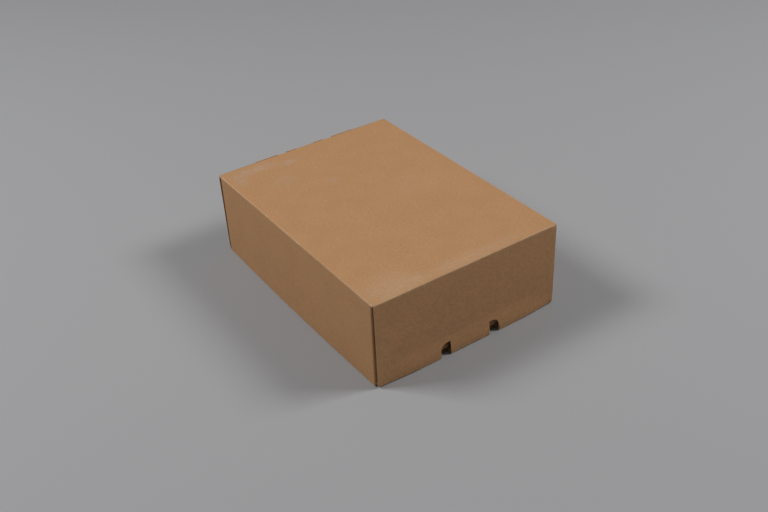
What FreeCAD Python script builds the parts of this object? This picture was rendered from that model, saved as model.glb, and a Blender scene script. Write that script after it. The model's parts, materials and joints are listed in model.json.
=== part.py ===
import FreeCAD, Part
import math
import os

# A shipping carton folded from one die-cut sheet of thin corrugated board, standing closed.
#
# The sheet wraps into a tube: top, left side, bottom and right side, with a glue tab inside the
# right side. Two dust flaps fold in from the sides at each short end. One closing flap shuts each
# end over them: the near one is creased to the top and comes down, the far one is creased to the
# bottom and comes up. A tuck flap on the free edge of each closing flap goes in over the opposite
# panel. The free edge is stepped: four feet carry the fold, a slit in the middle and one at each
# side free it, and two notches beside the middle take the fingers.
#
# X runs across the width, Y along the length towards the far end, Z up. The origin is on the floor
# under the middle of the box. Sizes are in millimetres and degrees.

# The box, measured over the outside of the closed carton
WIDTH = 230.0
LENGTH = 310.0
HEIGHT = 100.0

# The board and its creases
BOARD = 1.6
OUTER_CREASE_RADIUS = 1.6
INNER_CREASE_RADIUS = 0.4
CREASE_PLAY = 0.05

# The glued seam at the lower right crease
GLUE_TAB_HEIGHT = 30.0
GLUE_TAB_END_CLEARANCE = 14.0
GLUE_TAB_TAPER = 10.0
GLUE_LINE = 0.3
SEAM_LIFT = 0.3
SEAM_CREASE_RADIUS = 1.0

# The dust flaps
DUST_FLAP_LENGTH = 93.0
DUST_FLAP_LEAN = 0.2
DUST_FLAP_SETBACK = 1.2
DUST_FLAP_PLAY = 0.5
DUST_FLAP_SHOULDER = 8.0
DUST_FLAP_EDGE_HEIGHT = 5.0
DUST_FLAP_CORNER = 5.0

# The closing flaps
CLOSING_FLAP_SIDE_PLAY = 0.8
CLOSING_FLAP_CORNER = 3.5
SLIT_HEIGHT = 1.2
NEAR_BULGE = 2.0
FAR_BULGE = 0.3
BULGE_START = 24.0
BULGE_END = 7.0
BULGE_RADIUS = 30.0
FOOT_NOSE_RADIUS = 1.1
FOOT_HEEL_RADIUS = 0.3
NEAR_FLAP_LEAN = 0.8
FAR_FLAP_LEAN = 1.5

# The stepped free edge, measured from the middle of the flap outwards
MIDDLE_SLIT_HALF = 12.5
INNER_FOOT_WIDTH = 12.8
NOTCH_WIDTH = 12.4
NOTCH_HEIGHT = 16.8
NOTCH_ROUND = 8.5
OUTER_FOOT_WIDTH = 27.8

# The tuck flaps
TUCK_DEPTH = 24.0
TUCK_CORNER = 10.0
TUCK_RISE = 3.0
TUCK_PLAY = 0.3
TUCK_KNUCKLE_RADIUS = 0.5
TUCK_GROOVE_PLAY = 0.35
TUCK_CRUSH_LENGTH = 2.0
TUCK_SLOT_DEPTH = 6.0
TUCK_NOTCH_DEPTH = 10.0
TUCK_NOTCH_ROUND = 3.0
TUCK_FOLLOWS = -0.4

# How far the free edges of the bottom and top panel stay behind the closing flap's inner face
NEAR_PANEL_PLAY = 1.3
FAR_PANEL_PLAY = 0.6

# Positions along the stepped edge
NOTCH_INNER = MIDDLE_SLIT_HALF + INNER_FOOT_WIDTH
NOTCH_OUTER = NOTCH_INNER + NOTCH_WIDTH
FOOT_OUTER = NOTCH_OUTER + OUTER_FOOT_WIDTH

# The near end plane, the crease of its closing flap, and the height of its tuck flap's fold
END_Y = -LENGTH / 2
CREASE_Y = END_Y + BOARD / 2
CREASE_Z = HEIGHT - BOARD / 2
FOLD_Z = BOARD + TUCK_PLAY + BOARD / 2

# Overlap of a cutting tool past the face that it cuts, and the distance that counts as none
PAST = 5.0
SAME_POINT = 1e-6


def lean_shift(lean):
    """Distance that a closing flap's free edge stands off when the flap leans out."""
    return (CREASE_Z - FOLD_Z) * math.sin(math.radians(lean))


# The far flap leans out further, so the whole is moved to put the origin under its middle
MIDDLE_SHIFT = (lean_shift(FAR_FLAP_LEAN) + FAR_BULGE - lean_shift(NEAR_FLAP_LEAN) - NEAR_BULGE) / 2


def across(y):
    """Map an outline drawn in width and height onto the plane at y."""
    return lambda u, v: FreeCAD.Vector(u, y, v)


def along(x):
    """Map an outline drawn in length and height onto the plane at x."""
    return lambda u, v: FreeCAD.Vector(x, u, v)


def flat(z):
    """Map an outline drawn in width and length onto the plane at z."""
    return lambda u, v: FreeCAD.Vector(u, v, z)


def corner_arc(before, corner, after, radius):
    """Start, middle and end of the arc that rounds a corner of an outline."""
    to_before = (before - corner).normalize()
    to_after = (after - corner).normalize()
    half_angle = to_before.getAngle(to_after) / 2
    run = radius / math.tan(half_angle)
    inward = (to_before + to_after).normalize()
    middle = corner + inward * (radius / math.sin(half_angle) - radius)
    return corner + to_before * run, middle, corner + to_after * run


def outline(corners, place):
    """Closed wire through corners (u, v, radius), each rounded to its radius."""
    points = [place(u, v) for u, v, radius in corners]
    bends = []
    for index, (u, v, radius) in enumerate(corners):
        corner = points[index]
        after = points[(index + 1) % len(points)]
        if radius == 0:
            bends.append((corner, corner, corner))
        else:
            bends.append(corner_arc(points[index - 1], corner, after, radius))
    edges = []
    for index, (start, middle, end) in enumerate(bends):
        last = bends[index - 1][2]
        if last.distanceToPoint(start) > SAME_POINT:
            edges.append(Part.LineSegment(last, start).toShape())
        if start.distanceToPoint(end) > SAME_POINT:
            edges.append(Part.Arc(start, middle, end).toShape())
    return Part.Wire(edges)


def prism(corners, place, direction):
    """Solid made by drawing an outline and pushing it along a direction."""
    return Part.Face(outline(corners, place)).extrude(direction)


def block(low, high):
    """Box between two opposite corners."""
    size = [b - a for a, b in zip(low, high)]
    return Part.makeBox(*size, FreeCAD.Vector(*low))


def rod(x_low, x_high, y, z, radius):
    """Round rod along the width."""
    base = FreeCAD.Vector(x_low, y, z)
    return Part.makeCylinder(radius, x_high - x_low, base, FreeCAD.Vector(1, 0, 0))


def mirrored(corners):
    """Outline corners of the left half, followed by those of its mirror image on the right."""
    return corners + [(-u, v, radius) for u, v, radius in reversed(corners)]


def turned_round(shape):
    """Copy of a near-end shape, turned half round the box's cross axis to the far end."""
    copy = shape.copy()
    copy.rotate(FreeCAD.Vector(0, 0, HEIGHT / 2), FreeCAD.Vector(1, 0, 0), 180)
    return copy


def other_side(shape):
    """Copy of a left-hand shape on the right."""
    return shape.mirror(FreeCAD.Vector(0, 0, 0), FreeCAD.Vector(1, 0, 0))


# The tube


def tube():
    """Top, sides and bottom as one wrapped sheet, with the glue tab inside the right side."""
    half = WIDTH / 2
    inner = half - BOARD
    tab_outer = inner - GLUE_LINE
    tab_inner = tab_outer - BOARD
    groove_top = SEAM_LIFT + SEAM_CREASE_RADIUS
    outside = [
        (-half, 0, OUTER_CREASE_RADIUS),
        (-half, HEIGHT, OUTER_CREASE_RADIUS),
        (half, HEIGHT, OUTER_CREASE_RADIUS),
        (half, SEAM_LIFT, 0),
        (inner, SEAM_LIFT, 0),
        (inner, groove_top, 0),
        (tab_outer, groove_top, 0),
        (tab_outer, 0, SEAM_CREASE_RADIUS),
    ]
    inside = [
        (-inner, BOARD, INNER_CREASE_RADIUS),
        (-inner, HEIGHT - BOARD, INNER_CREASE_RADIUS),
        (inner, HEIGHT - BOARD, INNER_CREASE_RADIUS),
        (inner, GLUE_TAB_HEIGHT, 0),
        (tab_inner, GLUE_TAB_HEIGHT, 0),
        (tab_inner, BOARD, INNER_CREASE_RADIUS),
    ]
    reach = LENGTH / 2 + PAST
    push = FreeCAD.Vector(0, 2 * reach, 0)
    return prism(outside, across(-reach), push).cut(prism(inside, across(-reach), push))


def glue_tab_end():
    """Waste beyond the tapered near end of the glue tab."""
    inner = WIDTH / 2 - BOARD
    start = END_Y + GLUE_TAB_END_CLEARANCE
    top = GLUE_TAB_HEIGHT + PAST
    corners = [
        (END_Y - 2 * PAST, BOARD, 0),
        (start, BOARD, 0),
        (start + GLUE_TAB_TAPER * (top - BOARD) / (GLUE_TAB_HEIGHT - BOARD), top, 0),
        (END_Y - 2 * PAST, top, 0),
    ]
    thickness = BOARD + GLUE_LINE + PAST
    return prism(corners, along(inner - thickness), FreeCAD.Vector(thickness, 0, 0))


def end_waste(panel_edge_y):
    """Waste at the near end: what stands past the side folds, the free panel edge and the crease."""
    half = WIDTH / 2 + PAST
    past_end = END_Y - 2 * PAST
    side_y = END_Y + BOARD + DUST_FLAP_SETBACK + dust_fold_radius()
    below_top = HEIGHT - BOARD
    sides = block((-half, past_end, BOARD), (half, side_y, below_top))
    low = block((-half, past_end, -PAST), (half, panel_edge_y, BOARD))
    high = block((-half, past_end, below_top), (half, CREASE_Y, HEIGHT + PAST))
    crease = rod(-half, half, CREASE_Y, CREASE_Z, BOARD / 2 + CREASE_PLAY)
    return sides.fuse([low, high, crease])


def dust_fold_radius():
    """Outer radius of the fold between a side and its dust flap."""
    return BOARD + INNER_CREASE_RADIUS


def dust_flap():
    """Left dust flap of the near end, folded in a little past square."""
    lean = math.radians(DUST_FLAP_LEAN)
    outer = dust_fold_radius()
    centre_x = -WIDTH / 2 + outer
    centre_y = END_Y + BOARD + DUST_FLAP_SETBACK + outer
    out = FreeCAD.Vector(math.sin(lean), -math.cos(lean), 0)
    run = FreeCAD.Vector(math.cos(lean), math.sin(lean), 0) * (DUST_FLAP_LENGTH + PAST)
    diagonal = FreeCAD.Vector(-math.sin(math.pi / 4 - lean / 2), -math.cos(math.pi / 4 - lean / 2), 0)
    back = FreeCAD.Vector(-1, 0, 0)
    centre = FreeCAD.Vector(centre_x, centre_y, 0)
    outer_arc = [centre + direction * outer for direction in (back, diagonal, out)]
    inner_arc = [centre + direction * INNER_CREASE_RADIUS for direction in (out, diagonal, back)]
    edges = [
        Part.Arc(*outer_arc).toShape(),
        Part.LineSegment(outer_arc[2], outer_arc[2] + run).toShape(),
        Part.LineSegment(outer_arc[2] + run, inner_arc[0] + run).toShape(),
        Part.LineSegment(inner_arc[0] + run, inner_arc[0]).toShape(),
        Part.Arc(*inner_arc).toShape(),
        Part.LineSegment(inner_arc[2], outer_arc[0]).toShape(),
    ]
    folded = Part.Face(Part.Wire(edges)).extrude(FreeCAD.Vector(0, 0, HEIGHT))
    free_x = -WIDTH / 2 + DUST_FLAP_LENGTH
    start_x = -WIDTH / 2 - PAST
    fold_low = BOARD + DUST_FLAP_PLAY
    shoulder_x = centre_x + DUST_FLAP_SHOULDER
    elevation = [
        (start_x, fold_low, 0),
        (centre_x, fold_low, 0),
        (shoulder_x, DUST_FLAP_EDGE_HEIGHT, 0),
        (free_x, DUST_FLAP_EDGE_HEIGHT, DUST_FLAP_CORNER),
        (free_x, HEIGHT - DUST_FLAP_EDGE_HEIGHT, DUST_FLAP_CORNER),
        (shoulder_x, HEIGHT - DUST_FLAP_EDGE_HEIGHT, 0),
        (centre_x, HEIGHT - fold_low, 0),
        (start_x, HEIGHT - fold_low, 0),
    ]
    window = prism(elevation, across(END_Y - PAST), FreeCAD.Vector(0, 4 * PAST, 0))
    return folded.common(window)


def carton_body():
    """The part of the sheet that stays put: the glued tube and its four folded-in dust flaps."""
    near_edge = END_Y + BOARD + NEAR_PANEL_PLAY
    far_edge = END_Y + BOARD + FAR_PANEL_PLAY - lean_shift(FAR_FLAP_LEAN)
    body = tube()
    body = body.cut([end_waste(near_edge), turned_round(end_waste(far_edge))])
    tab_end = glue_tab_end()
    far_tab_end = tab_end.mirror(FreeCAD.Vector(0, 0, 0), FreeCAD.Vector(0, 1, 0))
    body = body.cut([tab_end, far_tab_end])
    left = dust_flap()
    right = other_side(left)
    return body.fuse([left, right, turned_round(left), turned_round(right)]).removeSplitter()


# The closing flaps, drawn upright at the near end


def fold_y(bulge):
    """Place of the tuck flap's fold, on the inner face of a free edge that bulges out this far."""
    return END_Y + BOARD - bulge


def closing_flap(bulge):
    """Flap with a round knuckle along its crease, whose stepped free edge bulges out at the bottom."""
    side = -WIDTH / 2 + CLOSING_FLAP_SIDE_PLAY
    out = END_Y - bulge
    inner = END_Y + BOARD
    profile = [
        (END_Y, CREASE_Z, 0),
        (END_Y, BULGE_START, BULGE_RADIUS),
        (out, BULGE_END, BULGE_RADIUS),
        (out, 0, FOOT_NOSE_RADIUS),
        (out + BOARD, 0, FOOT_HEEL_RADIUS),
        (out + BOARD, BULGE_END, BULGE_RADIUS),
        (inner, BULGE_START, BULGE_RADIUS),
        (inner, HEIGHT - BOARD - CREASE_PLAY, 0),
        (CREASE_Y, HEIGHT - BOARD - CREASE_PLAY, 0),
        (CREASE_Y, CREASE_Z, 0),
    ]
    panel = prism(profile, along(side), FreeCAD.Vector(-2 * side, 0, 0))
    left = [
        (side, HEIGHT, 0),
        (side, SLIT_HEIGHT, CLOSING_FLAP_CORNER),
        (-FOOT_OUTER, SLIT_HEIGHT, 0),
        (-FOOT_OUTER, -PAST, 0),
        (-NOTCH_OUTER, -PAST, 0),
        (-NOTCH_OUTER, NOTCH_HEIGHT, NOTCH_ROUND),
        (-NOTCH_INNER, NOTCH_HEIGHT, 0),
        (-NOTCH_INNER, -PAST, 0),
        (-MIDDLE_SLIT_HALF, -PAST, 0),
        (-MIDDLE_SLIT_HALF, SLIT_HEIGHT, 0),
    ]
    stepped = prism(mirrored(left), across(END_Y - PAST), FreeCAD.Vector(0, 2 * PAST, 0))
    knuckle = rod(side, -side, CREASE_Y, CREASE_Z, BOARD / 2)
    groove_end = FOOT_OUTER + TUCK_GROOVE_PLAY
    groove = rod(-groove_end, groove_end, fold_y(bulge), FOLD_Z, TUCK_KNUCKLE_RADIUS + TUCK_GROOVE_PLAY)
    return panel.common(stepped).cut(groove).fuse(knuckle).removeSplitter()


def tuck_flap(bulge):
    """Flap folded in from the feet, rising gently over the opposite panel, crushed thin at the fold."""
    half = BOARD / 2
    rise = math.tan(math.radians(TUCK_RISE))
    start_y = fold_y(bulge)
    crush_y = start_y + TUCK_CRUSH_LENGTH
    end_y = start_y + TUCK_DEPTH
    crush_z = FOLD_Z + rise * TUCK_CRUSH_LENGTH
    end_z = FOLD_Z + rise * TUCK_DEPTH
    profile = [
        (start_y, FOLD_Z - TUCK_KNUCKLE_RADIUS, 0),
        (crush_y, crush_z - half, 0),
        (end_y, end_z - half, 0),
        (end_y, end_z + half, 0),
        (crush_y, crush_z + half, 0),
        (start_y, FOLD_Z + TUCK_KNUCKLE_RADIUS, 0),
    ]
    sheet = prism(profile, along(-FOOT_OUTER), FreeCAD.Vector(2 * FOOT_OUTER, 0, 0))
    sheet = sheet.fuse(rod(-FOOT_OUTER, FOOT_OUTER, start_y, FOLD_Z, TUCK_KNUCKLE_RADIUS))
    root_y = start_y - PAST
    left = [
        (-FOOT_OUTER, end_y, TUCK_CORNER),
        (-FOOT_OUTER, root_y, 0),
        (-NOTCH_OUTER, root_y, 0),
        (-NOTCH_OUTER, start_y + TUCK_NOTCH_DEPTH, TUCK_NOTCH_ROUND),
        (-NOTCH_INNER, start_y + TUCK_NOTCH_DEPTH, TUCK_NOTCH_ROUND),
        (-NOTCH_INNER, root_y, 0),
        (-MIDDLE_SLIT_HALF, root_y, 0),
        (-MIDDLE_SLIT_HALF, start_y + TUCK_SLOT_DEPTH, TUCK_NOTCH_ROUND),
    ]
    plan = prism(mirrored(left), flat(-PAST), FreeCAD.Vector(0, 0, HEIGHT / 2))
    return sheet.common(plan).removeSplitter()


def leaned_end(lean, bulge):
    """Closing flap opened by its lean about the crease, with its tuck flap slid out to match."""
    across_width = FreeCAD.Vector(-1, 0, 0)
    crease = FreeCAD.Vector(0, CREASE_Y, CREASE_Z)
    fold = FreeCAD.Vector(0, fold_y(bulge), FOLD_Z)
    flap = closing_flap(bulge)
    tuck = tuck_flap(bulge)
    tuck.rotate(fold, across_width, TUCK_FOLLOWS * lean)
    flap.rotate(crease, across_width, lean)
    tuck.rotate(crease, across_width, lean)
    return flap, tuck


def save(name, shape):
    """Write one sub-part, moved so that the origin lies under the middle of the box."""
    moved = shape.copy()
    moved.translate(FreeCAD.Vector(0, -MIDDLE_SHIFT, 0))
    if len(moved.Solids) == 1:
        moved = moved.Solids[0]
    moved.exportStep(os.path.join("parts", name + ".step"))


def main():
    os.makedirs("parts", exist_ok=True)
    near_flap, near_tuck = leaned_end(NEAR_FLAP_LEAN, NEAR_BULGE)
    far_flap, far_tuck = leaned_end(FAR_FLAP_LEAN, FAR_BULGE)
    save("carton_body", carton_body())
    save("near_closing_flap", near_flap)
    save("near_tuck_flap", near_tuck)
    save("far_closing_flap", turned_round(far_flap))
    save("far_tuck_flap", turned_round(far_tuck))


main()
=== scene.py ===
"""Closed shipping carton of brown corrugated board, on a plain pale floor.

The long wrapped body, its four dust flaps, the two closing flaps and their tuck flaps are cut from
the shapes that the construction gives. Each cut edge is then opened between its two liners and gets
the waved medium that shows there, and the kraft paper gets its fibres, flute lines and scuffs.
"""

import json
import math
from collections import namedtuple

import bmesh
import bpy
from bpy.props import FloatProperty, FloatVectorProperty, PointerProperty
from mathutils import Matrix, Vector


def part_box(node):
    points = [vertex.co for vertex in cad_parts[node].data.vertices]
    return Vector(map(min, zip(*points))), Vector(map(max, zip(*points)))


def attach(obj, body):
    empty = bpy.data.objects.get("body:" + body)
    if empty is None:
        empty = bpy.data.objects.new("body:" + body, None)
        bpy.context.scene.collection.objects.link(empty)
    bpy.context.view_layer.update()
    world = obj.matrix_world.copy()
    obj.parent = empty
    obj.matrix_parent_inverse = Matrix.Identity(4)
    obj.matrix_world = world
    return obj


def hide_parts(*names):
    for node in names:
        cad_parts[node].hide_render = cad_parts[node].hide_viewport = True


bl_info = {
    "name": "Corrugated carton with tuck-in ends",
    "version": (1, 0, 0),
    "blender": (4, 5, 0),
    "location": "View3D > Sidebar > Carton",
    "description": "Builds a closed corrugated carton with a tucked closing flap at each end",
    "category": "Add Mesh",
}

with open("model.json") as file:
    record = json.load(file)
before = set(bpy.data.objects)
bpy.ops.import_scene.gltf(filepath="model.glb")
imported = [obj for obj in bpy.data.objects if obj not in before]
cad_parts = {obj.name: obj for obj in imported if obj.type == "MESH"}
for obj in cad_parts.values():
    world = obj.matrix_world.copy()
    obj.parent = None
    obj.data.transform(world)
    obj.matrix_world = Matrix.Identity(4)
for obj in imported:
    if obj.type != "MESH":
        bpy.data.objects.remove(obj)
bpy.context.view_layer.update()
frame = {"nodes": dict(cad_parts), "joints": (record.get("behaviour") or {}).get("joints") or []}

JOINTS = {joint["name"]: joint for joint in frame["joints"]}
BODY_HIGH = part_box("carton_body")[1]
HALF_WIDTH = BODY_HIGH.x
HEIGHT = BODY_HIGH.z

# How far each closing flap leans out of square, and how its tuck flap lies, in degrees
FLAP_LEAN = {"near": 0.8, "far": 1.5}
TUCK_RISE = {"near": 2.52, "far": 2.1}

# How far the free edge of each closing flap bulges out, between these heights, in metres
FLAP_BULGE = {"near": 0.0020, "far": 0.0003}
BULGE_START = 0.024
BULGE_END = 0.007

# The closing flaps, in metres; heights are those of the near flap, and the far one is turned half round
CREASE_HEIGHT = 0.0992
FLAP_HALF_WIDTH = 0.1142
FLAP_SIDE_TOP = 0.0970
BEND_CLEARANCE = 0.0002
RAISED_EDGE_HEIGHT = 0.0012
RAISED_EDGE_X = (0.067, 0.1100)
NOTCH_STRAIGHT_X = 0.0253
NOTCH_STRAIGHT_HEIGHTS = (0.0166, 0.0085)

# The tuck flaps, in metres; lengths are from the fold
TUCK_HALF_WIDTH = 0.0655
TUCK_SIDE = (0.003, 0.0135)
TUCK_LENGTH = 0.02403
TUCK_TIP_HALF_WIDTH = 0.055

# The dust flaps, in metres and degrees
DUST_FLAP_LEAN = 0.2
DUST_FLAP_FOLD = (0.113, 0.1502)
DUST_FLAP_FREE_X = 0.022
DUST_FLAP_MID_RADIUS = 0.0012
DUST_FLAP_EDGE_HEIGHT = 0.005
DUST_FLAP_SHOULDER = 0.0085
DUST_FLAP_CORNER = 0.0055
DUST_FLAP_SIDE_END = 0.0105
DUST_FLAP_START_Y = 0.148
MIDDLE_SHIFT = -0.00026

# Free edges of the bottom and top panel, in metres
BOTTOM_PANEL_EDGE_Y = -0.15184
TOP_PANEL_EDGE_Y = BODY_HIGH.y
PANEL_EDGE_INSET = 0.004
BOARD_MIDDLE = 0.0008

# Where cut board is looked for, in metres; depths are from the top or bottom of the carton
PANEL_EDGE_DEPTH = 0.0017
DUST_FLAP_DEPTH = 0.0018
BETWEEN_SIDES_X = 0.1
GLUE_TAB_TOP = 0.030
GLUE_TAB_SLACK = 0.0001
GLUE_TAB_END_Y = 0.147
SIDE_FOOT_HEIGHTS = (0.0001, 0.0005)
FLAP_CUT_HEIGHTS = (0.0005, 0.097)
TUCK_KNUCKLE_Y = -0.153

# How nearly a face looks along an axis, from 0 to 1
SQUARE_ON = 0.9
TOWARDS_END = 0.7
LEANING = 0.5
SIDEWAYS = 0.3
TUCK_EDGE_RISE = 0.6
TUCK_EDGE_TURN = 0.4

# The papers' places in each board's list of materials
LINER_INDEX = 0
CUT_INDEX = 1
MEDIUM_INDEX = 2

# Corners closer than this are one, in metres, and edges sharper than this stay sharp
WELD_DISTANCE = 1e-6
SHARP_ANGLE = math.radians(32)

# Where the side bows and where it is dented, in metres
BOW_HALF_LENGTH = 0.15
BOW_START_X = 0.02
BOW_FADE = 0.09
DENTED_SIDE_X = -0.11
DENT_CENTRE = (0.115, 0.028)
DENT_WAY = (-0.5, 0.86)
DENT_DEPTH = 0.0005
DENT_REACH = (0.018, 0.006)

# Planes that cut each board so that it bends and shades evenly: axis and distance between cuts
BODY_SLICES = ((1, 0.012), (2, 0.014), (0, 0.02))
CLOSING_FLAP_SLICES = ((0, 0.006), (2, 0.005))
TUCK_FLAP_SLICES = ((1, 0.003), (0, 0.006))

# A straight cut edge: its ends on the middle of the board, the way into the board and across it
CutEdge = namedtuple("CutEdge", "start end inward across open_flutes")


# Settings that a user may change


class CartonBoardSettings(bpy.types.PropertyGroup):
    """Sizes of the corrugated board."""

    thickness: FloatProperty(
        name="Board", description="Thickness of the board", default=0.0016, unit="LENGTH")
    liner: FloatProperty(
        name="Liner", description="Thickness of each flat paper liner", default=0.00026,
        unit="LENGTH")
    medium: FloatProperty(
        name="Medium", description="Thickness of the waved paper", default=0.0002, unit="LENGTH")
    pitch: FloatProperty(
        name="Flute pitch", description="Distance from one flute to the next", default=0.0033,
        unit="LENGTH")
    depth: FloatProperty(
        name="Flute depth", description="How deep an open cut edge is hollow", default=0.003, unit="LENGTH")
    groove: FloatProperty(
        name="Groove depth", description="How deep an edge cut along the flutes is hollow",
        default=0.0007, unit="LENGTH")
    bow: FloatProperty(
        name="Side bow", description="How far the lower left crease bows out", default=0.0018,
        unit="LENGTH")


class CartonPaperSettings(bpy.types.PropertyGroup):
    """Colours of the paper."""

    liner: FloatVectorProperty(
        name="Liner", description="Kraft liner colour", default=(0.422, 0.232, 0.108), subtype="COLOR")
    # Pale stretched paper along a crease, which also serves as a painted highlight of the rounded crease
    crease: FloatVectorProperty(
        name="Crease", description="Stretched paper along a crease", default=(0.56, 0.37, 0.225),
        subtype="COLOR")
    scuff: FloatVectorProperty(
        name="Scuff", description="Grey rubbed fibres", default=(0.405, 0.325, 0.27), subtype="COLOR")
    worn: FloatVectorProperty(
        name="Worn", description="Pale worn paper", default=(0.58, 0.45, 0.34), subtype="COLOR")
    # Cut liner edge: partly the cut paper's own darker tone, partly painted shade of the cut edge
    edge: FloatVectorProperty(
        name="Cut edge", description="Cut edge of the liners", default=(0.22, 0.130, 0.070),
        subtype="COLOR")
    # Waved paper, painted dark to stand in for the shade inside the open flutes
    medium: FloatVectorProperty(
        name="Medium", description="Waved paper between the liners", default=(0.11, 0.062, 0.032),
        subtype="COLOR")


class CartonStageSettings(bpy.types.PropertyGroup):
    """Floor, lamps and camera."""

    floor: FloatVectorProperty(
        name="Floor", description="Floor colour", default=(0.338, 0.338, 0.347), subtype="COLOR")
    right: FloatProperty(
        name="Right lamp", description="Power of the lamp on the right", default=34.0, unit="POWER")
    left: FloatProperty(
        name="Left lamp", description="Power of the lamp on the left", default=38.0, unit="POWER")
    sky: FloatProperty(
        name="Sky", description="Strength of the light from all round", default=0.165)
    lens: FloatProperty(
        name="Lens", description="Focal length", default=45.375, subtype="DISTANCE_CAMERA")
    azimuth: FloatProperty(
        name="Azimuth", description="Camera direction round the carton",
        default=math.radians(-33.42), subtype="ANGLE")
    elevation: FloatProperty(
        name="Elevation", description="Camera angle above the floor",
        default=math.radians(34.38), subtype="ANGLE")
    roll: FloatProperty(
        name="Roll", description="Camera tilt sideways", default=math.radians(-2.54), subtype="ANGLE")
    distance: FloatProperty(
        name="Distance", description="Camera distance from its target", default=1.0451, unit="LENGTH")
    target: FloatVectorProperty(
        name="Target", description="Point that the camera looks at",
        default=(-0.01872, -0.03216, 0.05), subtype="TRANSLATION", unit="LENGTH")


# Straight cut edges of each board


def flap_axes(end_name):
    """Crease point, way from the crease to the free edge, and way out, for one end."""
    side = -1 if end_name == "near" else 1
    lean = math.radians(FLAP_LEAN[end_name])
    crease = Vector(JOINTS[end_name + "_flap_hinge"]["pos_m"])
    down = Vector((0, math.sin(lean), math.cos(lean))) * side
    out = Vector((0, math.cos(lean), -math.sin(lean))) * side
    return crease, down, out


def bulge_share(height):
    """Share of a closing flap's bulge at one height, from 0 at its start to 1 at its foot."""
    return min(1, max(0, (BULGE_START - height) / (BULGE_START - BULGE_END)))


def closing_flap_edges(end_name):
    """Cut edges of a closing flap: both sides, its raised free edges and the notches' straight sides."""
    crease, down, out = flap_axes(end_name)
    right = Vector((1, 0, 0))
    raised_start, raised_end = RAISED_EDGE_X

    def at(x, height):
        bulge = out * FLAP_BULGE[end_name] * bulge_share(height)
        return crease + right * x + down * (CREASE_HEIGHT - height) + bulge

    def upright_edge(x, top, bottom):
        start = at(x, top)
        end = at(x, bottom)
        inward = right if x < 0 else -right
        return CutEdge(start, end, inward, right.cross(end - start).normalized(), True)

    edges = []
    for way in (-1, 1):
        edges.append(upright_edge(way * FLAP_HALF_WIDTH, FLAP_SIDE_TOP, BULGE_START + BEND_CLEARANCE))
        edges.append(upright_edge(way * FLAP_HALF_WIDTH, BULGE_START - BEND_CLEARANCE, BULGE_END))
        edges.append(upright_edge(way * NOTCH_STRAIGHT_X, *NOTCH_STRAIGHT_HEIGHTS))
        start = at(way * raised_start, RAISED_EDGE_HEIGHT)
        end = at(way * raised_end, RAISED_EDGE_HEIGHT)
        edges.append(CutEdge(start, end, -down, out, False))
    return edges


def tuck_fold(end_name):
    """Point on the fold of a tuck flap."""
    return Vector(JOINTS[end_name + "_tuck_fold"]["pos_m"])


def tuck_flap_edges(end_name):
    """Cut edges of a tuck flap: its two sides and its tip."""
    side = -1 if end_name == "near" else 1
    rise = math.radians(TUCK_RISE[end_name])
    fold = tuck_fold(end_name)
    along = Vector((0, math.cos(rise), math.sin(rise))) * -side
    across = Vector((0, -math.sin(rise), math.cos(rise)))
    right = Vector((1, 0, 0))
    side_start, side_end = TUCK_SIDE
    edges = []
    for way in (-1, 1):
        corner = fold + right * way * TUCK_HALF_WIDTH
        start = corner + along * side_start
        end = corner + along * side_end
        edges.append(CutEdge(start, end, right * -way, across, True))
    tip = fold + along * TUCK_LENGTH
    half_tip = right * TUCK_TIP_HALF_WIDTH
    edges.append(CutEdge(tip - half_tip, tip + half_tip, -along, across, False))
    return edges


def dust_flap_edges():
    """Cut edges of the four dust flaps: bottom, top and free side."""
    fold_x, fold_y = DUST_FLAP_FOLD
    lean = math.radians(DUST_FLAP_LEAN)
    up = Vector((0, 0, 1))
    edges = []
    for x_way in (-1, 1):
        for y_way in (-1, 1):
            out = Vector((-x_way * math.sin(lean), y_way * math.cos(lean), 0))
            run = Vector((-x_way * math.cos(lean), -y_way * math.sin(lean), 0))
            fold = Vector((fold_x * x_way, fold_y * y_way - MIDDLE_SHIFT, 0))
            line = fold + out * DUST_FLAP_MID_RADIUS
            length = (abs(line.x) - DUST_FLAP_FREE_X) / math.cos(lean)
            for height, inward in ((DUST_FLAP_EDGE_HEIGHT, up), (HEIGHT - DUST_FLAP_EDGE_HEIGHT, -up)):
                level = line + up * height
                start = level + run * DUST_FLAP_SHOULDER
                end = level + run * (length - DUST_FLAP_CORNER)
                edges.append(CutEdge(start, end, inward, out, True))
            free = line + run * length
            bottom = free + up * DUST_FLAP_SIDE_END
            top = free + up * (HEIGHT - DUST_FLAP_SIDE_END)
            edges.append(CutEdge(bottom, top, -run, out, False))
    return edges


def panel_edges():
    """Free edges of the bottom panel at the near end and of the top panel at the far end."""
    up = Vector((0, 0, 1))
    half = HALF_WIDTH - PANEL_EDGE_INSET
    panels = ((BOTTOM_PANEL_EDGE_Y, BOARD_MIDDLE, 1), (TOP_PANEL_EDGE_Y, HEIGHT - BOARD_MIDDLE, -1))
    edges = []
    for y, z, way in panels:
        edges.append(CutEdge(Vector((-half, y, z)), Vector((half, y, z)), Vector((0, way, 0)), up, False))
    return edges


# Meshes


def oriented_box(mesh, low_corner, along, inward, across):
    """Closed box added to a mesh, from one corner and its three edges."""
    corners = []
    for a in (0, 1):
        for b in (0, 1):
            for c in (0, 1):
                corners.append(mesh.verts.new(low_corner + along * a + inward * b + across * c))
    faces = ((0, 1, 3, 2), (4, 6, 7, 5), (0, 4, 5, 1), (2, 3, 7, 6), (0, 2, 6, 4), (1, 5, 7, 3))
    made = [mesh.faces.new([corners[index] for index in face]) for face in faces]
    bmesh.ops.recalc_face_normals(mesh, faces=made)


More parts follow.
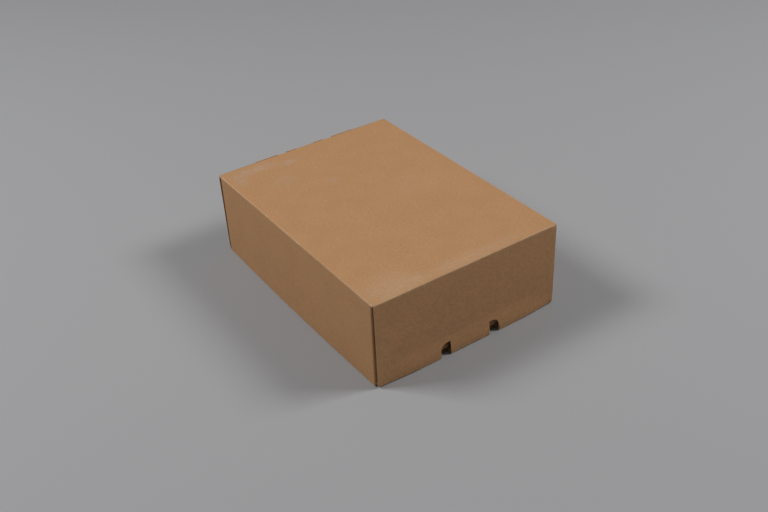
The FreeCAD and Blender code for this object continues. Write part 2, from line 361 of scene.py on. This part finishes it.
def edge_hollows(edges, board):
    """Object with one box for each cut edge, the size of the space between the liners."""
    mesh = bmesh.new()
    gap = board.thickness - 2 * board.liner
    past = 0.0004
    for edge in edges:
        depth = board.depth if edge.open_flutes else board.groove
        low = edge.start - edge.inward * past - edge.across * gap / 2
        oriented_box(mesh, low, edge.end - edge.start, edge.inward * (depth + past), edge.across * gap)
    return mesh_object("edge_hollows", mesh)


def mesh_object(name, mesh):
    """Blender object made from a bmesh."""
    data = bpy.data.meshes.new(name)
    mesh.to_mesh(data)
    mesh.free()
    made = bpy.data.objects.new(name, data)
    bpy.context.scene.collection.objects.link(made)
    return made


def welded_copy(node_name, name):
    """Copy of a construction solid with its doubled corners welded."""
    mesh = bmesh.new()
    mesh.from_mesh(frame["nodes"][node_name].data)
    bmesh.ops.remove_doubles(mesh, verts=mesh.verts, dist=WELD_DISTANCE)
    return mesh_object(name, mesh)


def hollowed(piece, edges, board):
    """Cut the space between the liners out of a board at its cut edges."""
    cutter = edge_hollows(edges, board)
    modifier = piece.modifiers.new("open edges", "BOOLEAN")
    modifier.operation = "DIFFERENCE"
    modifier.solver = "EXACT"
    modifier.object = cutter
    graph = bpy.context.evaluated_depsgraph_get()
    data = bpy.data.meshes.new_from_object(piece.evaluated_get(graph))
    piece.modifiers.clear()
    old = piece.data
    piece.data = data
    bpy.data.meshes.remove(old)
    bpy.data.objects.remove(cutter)


def add_medium(mesh, edge, board):
    """Waved paper strip between the liners of an open cut edge."""
    steps_per_flute = 8
    length = (edge.end - edge.start).length
    along = (edge.end - edge.start) / length
    count = max(2, round(length / board.pitch * steps_per_flute))
    swing = board.thickness / 2 - board.liner - board.medium / 2
    inset = 0.0005
    rows = []
    for step in range(count + 1):
        distance = length * step / count
        phase = 2 * math.pi * distance / board.pitch
        offset = swing * math.sin(phase)
        slope = swing * 2 * math.pi / board.pitch * math.cos(phase)
        half = board.medium / 2 * math.sqrt(1 + slope * slope)
        half = min(half, board.medium)
        base = edge.start + along * distance
        row = []
        for across_offset, depth in ((offset - half, inset), (offset + half, inset),
                                     (offset + half, board.depth), (offset - half, board.depth)):
            row.append(mesh.verts.new(base + edge.across * across_offset + edge.inward * depth))
        rows.append(row)
    made = []
    for before, after in zip(rows, rows[1:]):
        for index in range(4):
            following = (index + 1) % 4
            made.append(mesh.faces.new((before[index], before[following], after[following], after[index])))
    made.append(mesh.faces.new(rows[0]))
    made.append(mesh.faces.new(rows[-1]))
    bmesh.ops.recalc_face_normals(mesh, faces=made)
    for face in made:
        face.material_index = MEDIUM_INDEX


def inside_hollow(point, edges, board):
    """Whether a point lies on a wall between the liners of one of the cut edges."""
    gap = board.thickness - 2 * board.liner
    slack = 0.00002
    for edge in edges:
        depth = board.depth if edge.open_flutes else board.groove
        offset = point - edge.start
        along = edge.end - edge.start
        if not -slack <= offset.dot(along.normalized()) <= along.length + slack:
            continue
        if abs(offset.dot(edge.across)) > gap / 2 + slack:
            continue
        if -slack < offset.dot(edge.inward) <= depth + slack:
            return True
    return False


def sliced(mesh, steps):
    """Cut a mesh along planes at regular steps, so that long panels can bend and shade evenly."""
    for axis, step in steps:
        low = min(vertex.co[axis] for vertex in mesh.verts)
        high = max(vertex.co[axis] for vertex in mesh.verts)
        count = max(1, round((high - low) / step))
        for index in range(1, count):
            place = Vector((0, 0, 0))
            place[axis] = low + (high - low) * index / count
            normal = Vector((0, 0, 0))
            normal[axis] = 1
            parts = mesh.verts[:] + mesh.edges[:] + mesh.faces[:]
            bmesh.ops.bisect_plane(mesh, geom=parts, plane_co=place, plane_no=normal, dist=WELD_DISTANCE)


def finish_board(piece, edges, board, is_cut_edge, materials, steps, bend):
    """Give a board its paper, its waved medium and its bend."""
    mesh = bmesh.new()
    mesh.from_mesh(piece.data)
    bmesh.ops.remove_doubles(mesh, verts=mesh.verts, dist=WELD_DISTANCE)
    mesh.normal_update()
    for face in mesh.faces:
        centre = face.calc_center_median()
        # Walls of each hollow take the dark medium colour, which is painted shade of the space between the
        # liners
        if inside_hollow(centre, edges, board):
            face.material_index = MEDIUM_INDEX
        elif is_cut_edge(centre, face.normal):
            face.material_index = CUT_INDEX
        else:
            face.material_index = LINER_INDEX
    for edge in edges:
        if edge.open_flutes:
            add_medium(mesh, edge, board)
    sliced(mesh, steps)
    if bend:
        for vertex in mesh.verts:
            vertex.co += bend(vertex.co)
    piece.data.materials.clear()
    for material in materials:
        piece.data.materials.append(material)
    mesh.to_mesh(piece.data)
    mesh.free()
    piece.data.shade_smooth()
    piece.data.set_sharp_from_angle(angle=SHARP_ANGLE)


def body_cut_edge(centre, normal):
    """Whether a face of the wrapped body is cut board, not liner."""
    depth = min(centre.z, HEIGHT - centre.z)
    foot_low, foot_high = SIDE_FOOT_HEIGHTS
    past_panels = depth > DUST_FLAP_DEPTH
    on_glue_tab = abs(centre.y) < GLUE_TAB_END_Y and centre.z < GLUE_TAB_TOP + GLUE_TAB_SLACK
    panel_edge = abs(normal.y) > SQUARE_ON and depth < PANEL_EDGE_DEPTH
    dust_flap_edge = abs(normal.z) > LEANING and past_panels and abs(centre.y) > DUST_FLAP_START_Y
    dust_flap_side = abs(normal.y) < SIDEWAYS and past_panels and abs(centre.x) < BETWEEN_SIDES_X
    glue_tab_top = abs(normal.z) > SQUARE_ON and abs(centre.z - GLUE_TAB_TOP) < GLUE_TAB_SLACK
    glue_tab_end = abs(normal.y) > LEANING and on_glue_tab
    side_foot = normal.z < -SQUARE_ON and foot_low < centre.z < foot_high
    return panel_edge or dust_flap_edge or dust_flap_side or glue_tab_top or glue_tab_end or side_foot


def upright(centre, normal, end_name):
    """Point and direction on a flap as they would be at the near end."""
    if end_name == "near":
        return centre, normal
    return Vector((centre.x, -centre.y, HEIGHT - centre.z)), Vector((normal.x, -normal.y, -normal.z))


def flap_cut_edge(end_name):
    """Test for the cut faces of a closing flap."""
    low, high = FLAP_CUT_HEIGHTS

    def test(centre, normal):
        place, way = upright(centre, normal, end_name)
        return abs(way.x) > LEANING or abs(way.y) < SIDEWAYS and low < place.z < high
    return test


def tuck_cut_edge(end_name):
    """Test for the cut faces of a tuck flap."""
    def test(centre, normal):
        place, way = upright(centre, normal, end_name)
        return abs(way.z) < TUCK_EDGE_RISE and (abs(way.x) > TUCK_EDGE_TURN or place.y > TUCK_KNUCKLE_Y)
    return test


def body_bend(bow):
    """Slight outward bow of the lower left crease, and a shallow dent in the left side."""
    dent_centre = Vector(DENT_CENTRE)
    dent_way = Vector(DENT_WAY).normalized()
    dent_length, dent_width = DENT_REACH

    def bend(place):
        moved = Vector((0, 0, 0))
        if place.x < 0:
            round_length = max(0, 1 - (place.y / BOW_HALF_LENGTH) ** 2)
            down = 1 - place.z / HEIGHT
            fade = min(1, max(0, (-place.x - BOW_START_X) / BOW_FADE))
            moved.x -= bow * round_length * down * fade
        if place.x < DENTED_SIDE_X:
            offset = Vector((place.y, place.z)) - dent_centre
            along = offset.dot(dent_way)
            across = offset.dot(Vector((dent_way.y, -dent_way.x)))
            moved.x += DENT_DEPTH * math.exp(-(along / dent_length) ** 2 - (across / dent_width) ** 2)
        return moved
    return bend


def flap_bend(end_name):
    """Bend that flattens the bulge of a closing flap's free edge towards both corners."""
    start = RAISED_EDGE_X[0]
    out = flap_axes(end_name)[2]

    def bend(place):
        height = place.z if end_name == "near" else HEIGHT - place.z
        fade = min(1, max(0, (abs(place.x) - start) / (FLAP_HALF_WIDTH - start)))
        return out * -(FLAP_BULGE[end_name] * bulge_share(height) * fade * fade * (3 - 2 * fade))
    return bend


# Paper

# How far each layer of the paper's grain lightens or darkens it
CLOUD_TINT = 0.025
FIBRE_TINT = 0.09
GRAIN_TINT = 0.07
FLUTE_LINE_TINT = 0.028

# Colours mixed into the kraft paper
RED_FIBRES = (0.46, 0.21, 0.10)
OLIVE_FIBRES = (0.40, 0.27, 0.13)
DARK_SPECKS = (0.20, 0.11, 0.055)
PALE_SPECKS = (0.56, 0.37, 0.22)

# The pale stretched paper and painted highlight along a crease, in metres, and the relief of the paper
CREASE_REACH = 0.0017
CREASE_RAGGEDNESS = 0.0016
RELIEF_STRENGTH = 0.35
RELIEF_HEIGHT = 0.0001
LINER_SHEEN = 0.25
CUT_SHEEN = 0.2


def node_group(name, inputs, outputs):
    """Empty shader node group with named sockets, and its input and output nodes."""
    group = bpy.data.node_groups.new(name, "ShaderNodeTree")
    for socket_name, kind, default in inputs:
        socket = group.interface.new_socket(socket_name, in_out="INPUT", socket_type=kind)
        if default is not None:
            socket.default_value = default
    for socket_name, kind in outputs:
        group.interface.new_socket(socket_name, in_out="OUTPUT", socket_type=kind)
    return group, group.nodes.new("NodeGroupInput"), group.nodes.new("NodeGroupOutput")


def connect(tree, value, socket):
    """Link a socket, or set a plain value on it."""
    if isinstance(value, bpy.types.NodeSocket):
        tree.links.new(value, socket)
    else:
        socket.default_value = value


def math_node(tree, operation, first, second=0.0, third=0.0, clamp=False):
    """Output of a Math node."""
    node = tree.nodes.new("ShaderNodeMath")
    node.operation = operation
    node.use_clamp = clamp
    for value, socket in zip((first, second, third), node.inputs):
        connect(tree, value, socket)
    return node.outputs[0]


def vector_node(tree, operation, first, second=(0, 0, 0), output="Vector"):
    """Output of a Vector Math node."""
    node = tree.nodes.new("ShaderNodeVectorMath")
    node.operation = operation
    connect(tree, first, node.inputs[0])
    connect(tree, second, node.inputs[1])
    return node.outputs[output]


def noise_node(tree, place, scale, detail=2.0, roughness=0.5):
    """Output of a Noise Texture node."""
    node = tree.nodes.new("ShaderNodeTexNoise")
    node.inputs["Scale"].default_value = scale
    node.inputs["Detail"].default_value = detail
    node.inputs["Roughness"].default_value = roughness
    tree.links.new(place, node.inputs["Vector"])
    return node.outputs["Fac"]


def ramp(tree, value, low, high, to_low=0.0, to_high=1.0):
    """Value mapped smoothly from one range to another."""
    node = tree.nodes.new("ShaderNodeMapRange")
    node.interpolation_type = "SMOOTHSTEP"
    for key, item in (("Value", value), ("From Min", low), ("From Max", high),
                      ("To Min", to_low), ("To Max", to_high)):
        connect(tree, item, node.inputs[key])
    return node.outputs["Result"]


def mix_colour(tree, factor, first, second):
    """Output of a colour Mix node."""
    node = tree.nodes.new("ShaderNodeMix")
    node.data_type = "RGBA"
    connect(tree, factor, node.inputs["Factor"])
    connect(tree, first, node.inputs[6])
    connect(tree, second, node.inputs[7])
    return node.outputs[2]


def rgba(colour):
    """Colour with a full alpha."""
    return (*colour, 1.0)


def kraft_fibre_group():
    """Fibres, clouds and specks of brown kraft paper, with faint lines over the flutes."""
    group, enter, leave = node_group(
        "kraft fibres",
        (("Place", "NodeSocketVector", None),
         ("Across Flutes", "NodeSocketFloat", 0.0),
         ("Colour", "NodeSocketColor", (0.4, 0.23, 0.12, 1)),
         ("Flute Pitch", "NodeSocketFloat", 0.0033),
         ("Flute Lines", "NodeSocketFloat", 1.0)),
        (("Colour", "NodeSocketColor"), ("Height", "NodeSocketFloat"), ("Roughness", "NodeSocketFloat")))
    place = enter.outputs["Place"]
    clouds = noise_node(group, place, scale=38, detail=4, roughness=0.55)
    grain = noise_node(group, place, scale=520, detail=3, roughness=0.6)
    stretched = vector_node(group, "MULTIPLY", place, (1.0, 3.5, 1.0))
    fibres = noise_node(group, stretched, scale=260, detail=5, roughness=0.7)
    speck_place = vector_node(group, "ADD", place, (3.1, 1.7, 0.4))
    specks = noise_node(group, speck_place, scale=330, detail=1)
    sway = math_node(group, "MULTIPLY", noise_node(group, place, scale=22, detail=1), 0.0022)
    along = math_node(group, "ADD", enter.outputs["Across Flutes"], sway)
    turns = math_node(group, "DIVIDE", along, enter.outputs["Flute Pitch"])
    wave = math_node(group, "SINE", math_node(group, "MULTIPLY", turns, 2 * math.pi))
    fading = ramp(group, noise_node(group, place, scale=14), 0.35, 0.65, 0.35, 1.0)
    strength = math_node(group, "MULTIPLY", fading, enter.outputs["Flute Lines"])
    lines = math_node(group, "MULTIPLY", wave, strength)
    shade = math_node(group, "ADD", ramp(group, clouds, 0.3, 0.7, 1 - CLOUD_TINT, 1 + CLOUD_TINT),
                      ramp(group, fibres, 0.3, 0.7, -FIBRE_TINT, FIBRE_TINT))
    shade = math_node(group, "ADD", shade, ramp(group, grain, 0.25, 0.75, -GRAIN_TINT, GRAIN_TINT))
    shade = math_node(group, "MULTIPLY_ADD", lines, FLUTE_LINE_TINT, shade)
    coloured = vector_node(group, "SCALE", enter.outputs["Colour"])
    group.links.new(shade, coloured.node.inputs["Scale"])
    blotch_place = vector_node(group, "ADD", place, (0.7, 2.9, 5.3))
    blotches = noise_node(group, blotch_place, scale=150, detail=3, roughness=0.65)
    for mask, low, high, most, colour in ((blotches, 0.35, 0.68, 0.22, RED_FIBRES),
                                          (blotches, 0.50, 0.26, 0.16, OLIVE_FIBRES),
                                          (specks, 0.70, 0.78, 0.35, DARK_SPECKS),
                                          (specks, 0.27, 0.21, 0.25, PALE_SPECKS)):
        coloured = mix_colour(group, ramp(group, mask, low, high, 0.0, most), coloured, rgba(colour))
    group.links.new(coloured, leave.inputs["Colour"])
    height = math_node(group, "MULTIPLY_ADD", lines, 0.55, math_node(group, "MULTIPLY", fibres, 0.35))
    height = math_node(group, "MULTIPLY_ADD", clouds, 1.2, height)
    group.links.new(height, leave.inputs["Height"])
    group.links.new(ramp(group, grain, 0.3, 0.7, 0.78, 0.90), leave.inputs["Roughness"])
    return group


def crease_wear_and_highlight_group():
    """Mask of the pale stretched paper and painted highlight along a crease, from the distance to the
    crease line.
    """
    group, enter, leave = node_group(
        "crease wear",
        (("Place", "NodeSocketVector", None),
         ("Distance", "NodeSocketFloat", 0.0),
         ("Reach", "NodeSocketFloat", CREASE_REACH)),
        (("Mask", "NodeSocketFloat"),))
    ragged = noise_node(group, enter.outputs["Place"], scale=160, detail=3, roughness=0.6)
    # Noise that makes the stretched paper and painted highlight stronger and weaker along the crease
    worn = noise_node(group, enter.outputs["Place"], scale=24)
    swing = math_node(group, "SUBTRACT", ragged, 0.5)
    distance = math_node(group, "MULTIPLY_ADD", swing, CREASE_RAGGEDNESS, enter.outputs["Distance"])
    near = ramp(group, distance, enter.outputs["Reach"], 0.0002)
    mask = math_node(group, "MULTIPLY", near, ramp(group, worn, 0.3, 0.7, 0.5, 1.0), clamp=True)
    group.links.new(mask, leave.inputs["Mask"])
    return group


def rubbed_patch_group():
    """Mask of one rubbed patch, broken up by the paper's fibres."""
    group, enter, leave = node_group(
        "rubbed patch",
        (("Place", "NodeSocketVector", None),
         ("Centre", "NodeSocketVector", None),
         ("Size", "NodeSocketVector", (0.01, 0.01, 0.01)),
         ("Strength", "NodeSocketFloat", 1.0),
         ("Streaks", "NodeSocketFloat", 1.0)),
        (("Mask", "NodeSocketFloat"),))
    place = enter.outputs["Place"]
    offset = vector_node(group, "SUBTRACT", place, enter.outputs["Centre"])
    offset = vector_node(group, "DIVIDE", offset, enter.outputs["Size"])
    distance = vector_node(group, "LENGTH", offset, output="Value")
    edge_noise = noise_node(group, place, scale=75, detail=4, roughness=0.6)
    ragged = math_node(group, "MULTIPLY_ADD", edge_noise, 0.9,
                       math_node(group, "SUBTRACT", distance, 0.45))
    patch = ramp(group, ragged, 1.0, 0.1)
    stretched = vector_node(group, "MULTIPLY", place, (0.5, 2.0, 1.0))
    streaks = noise_node(group, stretched, scale=190, detail=5, roughness=0.66)
    sharp = ramp(group, streaks, 0.42, 0.66)
    plain = math_node(group, "SUBTRACT", 1.0, enter.outputs["Streaks"])
    broken = math_node(group, "MULTIPLY_ADD", sharp, enter.outputs["Streaks"], plain)
    patch = math_node(group, "MULTIPLY", patch, broken)
    mask = math_node(group, "MULTIPLY", patch, enter.outputs["Strength"], clamp=True)
    group.links.new(mask, leave.inputs["Mask"])
    return group


def use_group(tree, name, maker, **values):
    """Node of a group that is made once, with values or links on its named inputs."""
    node = tree.nodes.new("ShaderNodeGroup")
    node.node_tree = bpy.data.node_groups.get(name) or maker()
    for key, value in values.items():
        connect(tree, value, node.inputs[key.replace("_", " ")])
    return node


# Rubbed patches on the top panel: centre and reach in metres, strength, how streaky, and which colour
RubbedPatch = namedtuple("RubbedPatch", "centre reach strength streaks colour")
RUBBED_PATCHES = (
    RubbedPatch((-0.078, 0.141, 0.100), (0.040, 0.012, 0.02), 0.66, 0.85, "scuff"),
    RubbedPatch((-0.100, 0.128, 0.100), (0.014, 0.020, 0.02), 0.42, 0.8, "scuff"),
    RubbedPatch((-0.036, 0.132, 0.100), (0.022, 0.010, 0.02), 0.60, 0.9, "scuff"),
    RubbedPatch((-0.060, 0.100, 0.100), (0.022, 0.018, 0.02), 0.32, 0.9, "scuff"),
    RubbedPatch((-0.018, 0.066, 0.100), (0.014, 0.011, 0.02), 0.34, 0.95, "scuff"),
    RubbedPatch((-0.085, -0.138, 0.100), (0.045, 0.032, 0.02), 0.20, 0.35, "worn"),
    RubbedPatch((0.00, -0.146, 0.100), (0.110, 0.014, 0.02), 0.20, 0.5, "worn"),
    RubbedPatch((0.050, 0.000, 0.100), (0.060, 0.040, 0.02), 0.07, 0.5, "worn"),
)


def across_flutes(tree, coordinates, parts):
    """Coordinate across the body's flutes, which run the other way round on its dust flaps."""
    facing = tree.nodes.new("ShaderNodeSeparateXYZ")
    tree.links.new(coordinates.outputs["Normal"], facing.inputs[0])
    towards_end = math_node(tree, "ABSOLUTE", facing.outputs["Y"])
    on_dust_flap = math_node(tree, "GREATER_THAN", towards_end, TOWARDS_END)
    swap = tree.nodes.new("ShaderNodeMix")
    tree.links.new(on_dust_flap, swap.inputs["Factor"])
    tree.links.new(parts.outputs["Y"], swap.inputs[2])
    tree.links.new(parts.outputs["X"], swap.inputs[3])
    return swap.outputs[0]


def crease_distance(tree, parts, crease_point):
    """Distance to a flap's crease, or to the nearest of the body's four long creases."""
    if crease_point is None:
        side = math_node(tree, "SUBTRACT", HALF_WIDTH, math_node(tree, "ABSOLUTE", parts.outputs["X"]))
        level = math_node(tree, "ABSOLUTE", math_node(tree, "SUBTRACT", parts.outputs["Z"], HEIGHT / 2))
        level = math_node(tree, "SUBTRACT", HEIGHT / 2, level)
    else:
        side = math_node(tree, "SUBTRACT", parts.outputs["Y"], crease_point.y)
        level = math_node(tree, "SUBTRACT", parts.outputs["Z"], crease_point.z)
    side_squared = math_node(tree, "POWER", side, 2.0)
    level_squared = math_node(tree, "POWER", level, 2.0)
    return math_node(tree, "SQRT", math_node(tree, "ADD", side_squared, level_squared))


def add_rubbed_patches(tree, place, colour, paper):
    """Colour with the rubbed patches of the top panel over it."""
    for patch in RUBBED_PATCHES:
        rubbed = use_group(tree, "rubbed patch", rubbed_patch_group, Place=place, Centre=patch.centre,
                           Size=patch.reach, Strength=patch.strength, Streaks=patch.streaks)
        rubbed_colour = rgba(getattr(paper, patch.colour))
        colour = mix_colour(tree, rubbed.outputs["Mask"], colour, rubbed_colour)
    return colour


def liner_material(name, paper, board, flute_axis=None, crease_point=None):
    """Outside of the board: kraft liner with pale stretched paper and a painted highlight along its
    creases, and rubbed patches on the body.
    """
    material = bpy.data.materials.new(name)
    material.use_nodes = True
    tree = material.node_tree
    shader = tree.nodes["Principled BSDF"]
    coordinates = tree.nodes.new("ShaderNodeTexCoord")
    place = coordinates.outputs["Object"]
    parts = tree.nodes.new("ShaderNodeSeparateXYZ")
    tree.links.new(place, parts.inputs[0])
    across = parts.outputs[flute_axis] if flute_axis else across_flutes(tree, coordinates, parts)
    fibres = use_group(tree, "kraft fibres", kraft_fibre_group, Place=place, Across_Flutes=across,
                       Colour=rgba(paper.liner), Flute_Pitch=board.pitch)
    # Pale stretched paper along the crease, with a painted highlight of the rounded crease mixed into the
    # colour
    wear_and_highlight = use_group(tree, "crease wear", crease_wear_and_highlight_group, Place=place, Reach=CREASE_REACH,
                     Distance=crease_distance(tree, parts, crease_point))
    colour = mix_colour(tree, wear_and_highlight.outputs["Mask"], fibres.outputs["Colour"], rgba(paper.crease))
    if crease_point is None:
        colour = add_rubbed_patches(tree, place, colour, paper)
    tree.links.new(colour, shader.inputs["Base Color"])
    tree.links.new(fibres.outputs["Roughness"], shader.inputs["Roughness"])
    bump = tree.nodes.new("ShaderNodeBump")
    bump.inputs["Strength"].default_value = RELIEF_STRENGTH
    bump.inputs["Distance"].default_value = RELIEF_HEIGHT
    tree.links.new(fibres.outputs["Height"], bump.inputs["Height"])
    tree.links.new(bump.outputs["Normal"], shader.inputs["Normal"])
    shader.inputs["Specular IOR Level"].default_value = LINER_SHEEN
    return material


def cut_material(name, colour, board):
    """Cut paper: fibres without flute lines."""
    material = bpy.data.materials.get(name)
    if material:
        return material
    material = bpy.data.materials.new(name)
    material.use_nodes = True
    tree = material.node_tree
    shader = tree.nodes["Principled BSDF"]
    place = tree.nodes.new("ShaderNodeTexCoord").outputs["Object"]
    fibres = use_group(tree, "kraft fibres", kraft_fibre_group, Place=place, Colour=rgba(colour),
                       Flute_Pitch=board.pitch, Flute_Lines=0.0)
    tree.links.new(fibres.outputs["Colour"], shader.inputs["Base Color"])
    tree.links.new(fibres.outputs["Roughness"], shader.inputs["Roughness"])
    shader.inputs["Specular IOR Level"].default_value = CUT_SHEEN
    return material


def paper_set(name, flute_axis=None, crease_point=None):
    """Liner, cut edge and medium for one board, the body's if no crease is given."""
    paper = bpy.context.scene.carton_paper
    board = bpy.context.scene.carton_board
    # The cut edge and medium colours are dark partly as painted shade of the hollow cut edges
    return (liner_material(name, paper, board, flute_axis, crease_point),
            cut_material("cut_edge_paper_and_shade", paper.edge, board),
            cut_material("medium_paper_painted_shade", paper.medium, board))


def build_board(node_name, piece_name, body_name, edges, is_cut_edge, materials, steps, bend=None):
    """One board: hollowed at its cut edges, dressed, bent if it bends, and riding on its body."""
    board = bpy.context.scene.carton_board
    piece = welded_copy(node_name, piece_name)
    hollowed(piece, edges, board)
    finish_board(piece, edges, board, is_cut_edge, materials, steps, bend)
    if not piece.data.polygons:
        raise RuntimeError(piece_name + " came out empty")
    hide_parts(node_name)
    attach(piece, body_name)


# Floor, lamps and camera

# Sizes and places of the stage, in metres
FLOOR_HALF_SIZE = 2.6
FLOOR_LEVEL = -0.00002
RIGHT_LAMP_PLACE = (1.54, -0.90, 1.90)
LEFT_LAMP_PLACE = (-1.50, 0.99, 1.87)
LAMP_TARGET = (0, 0, 0.03)
LAMP_SIZE = 0.85

# How matt the floor is, and how bright its colour stands behind it
FLOOR_ROUGHNESS = 0.9
BACKDROP_STRENGTH = 0.9


def floor_material(colour):
    """Even matt paint."""
    material = bpy.data.materials.new("floor_paint")
    material.use_nodes = True
    shader = material.node_tree.nodes["Principled BSDF"]
    shader.inputs["Base Color"].default_value = rgba(colour)
    shader.inputs["Roughness"].default_value = FLOOR_ROUGHNESS
    return material


def add_floor(stage):
    """Wide flat floor under the carton."""
    mesh = bmesh.new()
    corners = ((-1, -1), (1, -1), (1, 1), (-1, 1))
    places = [(x * FLOOR_HALF_SIZE, y * FLOOR_HALF_SIZE, FLOOR_LEVEL) for x, y in corners]
    mesh.faces.new([mesh.verts.new(place) for place in places])
    floor = mesh_object("floor", mesh)
    floor.data.materials.append(floor_material(stage.floor))


def add_lamp(name, place, power):
    """Square soft lamp that faces the carton."""
    lamp = bpy.data.lights.new(name, "AREA")
    lamp.shape = "SQUARE"
    lamp.size = LAMP_SIZE
    lamp.energy = power
    holder = bpy.data.objects.new(name, lamp)
    holder.location = place
    way = Vector(LAMP_TARGET) - Vector(place)
    holder.rotation_euler = way.to_track_quat("-Z", "Y").to_euler()
    bpy.context.scene.collection.objects.link(holder)


def add_sky(stage):
    """Even light from all round, seen by the camera in the floor's colour."""
    world = bpy.data.worlds.new("studio")
    bpy.context.scene.world = world
    world.use_nodes = True
    tree = world.node_tree
    light = tree.nodes["Background"]
    light.inputs["Color"].default_value = (1, 1, 1, 1)
    light.inputs["Strength"].default_value = stage.sky
    seen = tree.nodes.new("ShaderNodeBackground")
    seen.inputs["Color"].default_value = rgba(stage.floor)
    seen.inputs["Strength"].default_value = BACKDROP_STRENGTH
    ray = tree.nodes.new("ShaderNodeLightPath")
    either = tree.nodes.new("ShaderNodeMixShader")
    tree.links.new(ray.outputs["Is Camera Ray"], either.inputs["Fac"])
    tree.links.new(light.outputs[0], either.inputs[1])
    tree.links.new(seen.outputs[0], either.inputs[2])
    tree.links.new(either.outputs[0], tree.nodes["World Output"].inputs["Surface"])


def add_camera(stage):
    """Camera at the photograph's angle."""
    azimuth = stage.azimuth
    elevation = stage.elevation
    roll = stage.roll
    back = Vector((math.sin(azimuth) * math.cos(elevation), -math.cos(azimuth) * math.cos(elevation),
                   math.sin(elevation)))
    level = Vector((math.cos(azimuth), math.sin(azimuth), 0))
    over = back.cross(level)
    right = level * math.cos(roll) + over * math.sin(roll)
    up = over * math.cos(roll) - level * math.sin(roll)
    data = bpy.data.cameras.new("camera")
    data.sensor_width = 36.0
    data.lens = stage.lens
    data.clip_start = 0.01
    data.clip_end = 50
    camera = bpy.data.objects.new("camera", data)
    turn = Matrix((right, up, back)).transposed().to_4x4()
    camera.matrix_world = Matrix.Translation(Vector(stage.target) + back * stage.distance) @ turn
    bpy.context.scene.collection.objects.link(camera)
    bpy.context.scene.camera = camera


# Operators and panel


class CARTON_OT_body(bpy.types.Operator):
    """Build the wrapped body with its four dust flaps."""

    bl_idname = "carton.body"
    bl_label = "Body and dust flaps"

    def execute(self, context):
        board = context.scene.carton_board
        build_board("carton_body", "body_board", "carton", dust_flap_edges() + panel_edges(),
                    body_cut_edge, paper_set("kraft_liner_body"), BODY_SLICES, body_bend(board.bow))
        return {"FINISHED"}


class CARTON_OT_closing_flaps(bpy.types.Operator):
    """Build the closing flap of each end."""

    bl_idname = "carton.closing_flaps"
    bl_label = "Closing flaps"

    def execute(self, context):
        for end_name in ("near", "far"):
            crease = flap_axes(end_name)[0]
            materials = paper_set("kraft_liner_" + end_name + "_flap", "Z", crease)
            build_board(end_name + "_closing_flap", end_name + "_flap_board", end_name + "_flap",
                        closing_flap_edges(end_name), flap_cut_edge(end_name), materials,
                        CLOSING_FLAP_SLICES, flap_bend(end_name))
        return {"FINISHED"}


class CARTON_OT_tuck_flaps(bpy.types.Operator):
    """Build the tuck flap of each closing flap."""

    bl_idname = "carton.tuck_flaps"
    bl_label = "Tuck flaps"

    def execute(self, context):
        for end_name in ("near", "far"):
            materials = paper_set("kraft_liner_" + end_name + "_tuck", "Y", tuck_fold(end_name))
            build_board(end_name + "_tuck_flap", end_name + "_tuck_board", end_name + "_tuck",
                        tuck_flap_edges(end_name), tuck_cut_edge(end_name), materials, TUCK_FLAP_SLICES)
        return {"FINISHED"}


class CARTON_OT_stage(bpy.types.Operator):
    """Set the floor, the lamps and the camera."""

    bl_idname = "carton.stage"
    bl_label = "Floor, lamps and camera"

    def execute(self, context):
        stage = context.scene.carton_stage
        add_floor(stage)
        add_lamp("right_lamp", RIGHT_LAMP_PLACE, stage.right)
        add_lamp("left_lamp", LEFT_LAMP_PLACE, stage.left)
        add_sky(stage)
        add_camera(stage)
        context.scene.view_settings.view_transform = "Standard"
        return {"FINISHED"}


class CARTON_PT_panel(bpy.types.Panel):
    """Settings and steps of the carton."""

    bl_idname = "CARTON_PT_panel"
    bl_label = "Corrugated carton"
    bl_space_type = "VIEW_3D"
    bl_region_type = "UI"
    bl_category = "Carton"

    def draw(self, context):
        layout = self.layout
        for holder in (context.scene.carton_board, context.scene.carton_paper, context.scene.carton_stage):
            box = layout.box()
            for name in holder.__annotations__:
                box.prop(holder, name)
        for operator in OPERATORS:
            layout.operator(operator.bl_idname)


SETTINGS = {
    "carton_board": CartonBoardSettings,
    "carton_paper": CartonPaperSettings,
    "carton_stage": CartonStageSettings,
}
OPERATORS = (CARTON_OT_body, CARTON_OT_closing_flaps, CARTON_OT_tuck_flaps, CARTON_OT_stage)


def register():
    """Register the settings, operators and panel."""
    for item in (*SETTINGS.values(), *OPERATORS, CARTON_PT_panel):
        bpy.utils.register_class(item)
    for name, kind in SETTINGS.items():
        setattr(bpy.types.Scene, name, PointerProperty(type=kind))


def unregister():
    """Take back what register did."""
    for name in SETTINGS:
        delattr(bpy.types.Scene, name)
    for item in (CARTON_PT_panel, *reversed(OPERATORS), *SETTINGS.values()):
        bpy.utils.unregister_class(item)


def main():
    """Build the carton and its stage."""
    register()
    bpy.ops.carton.body()
    bpy.ops.carton.closing_flaps()
    bpy.ops.carton.tuck_flaps()
    bpy.ops.carton.stage()


if __name__ == "__main__":
    main()
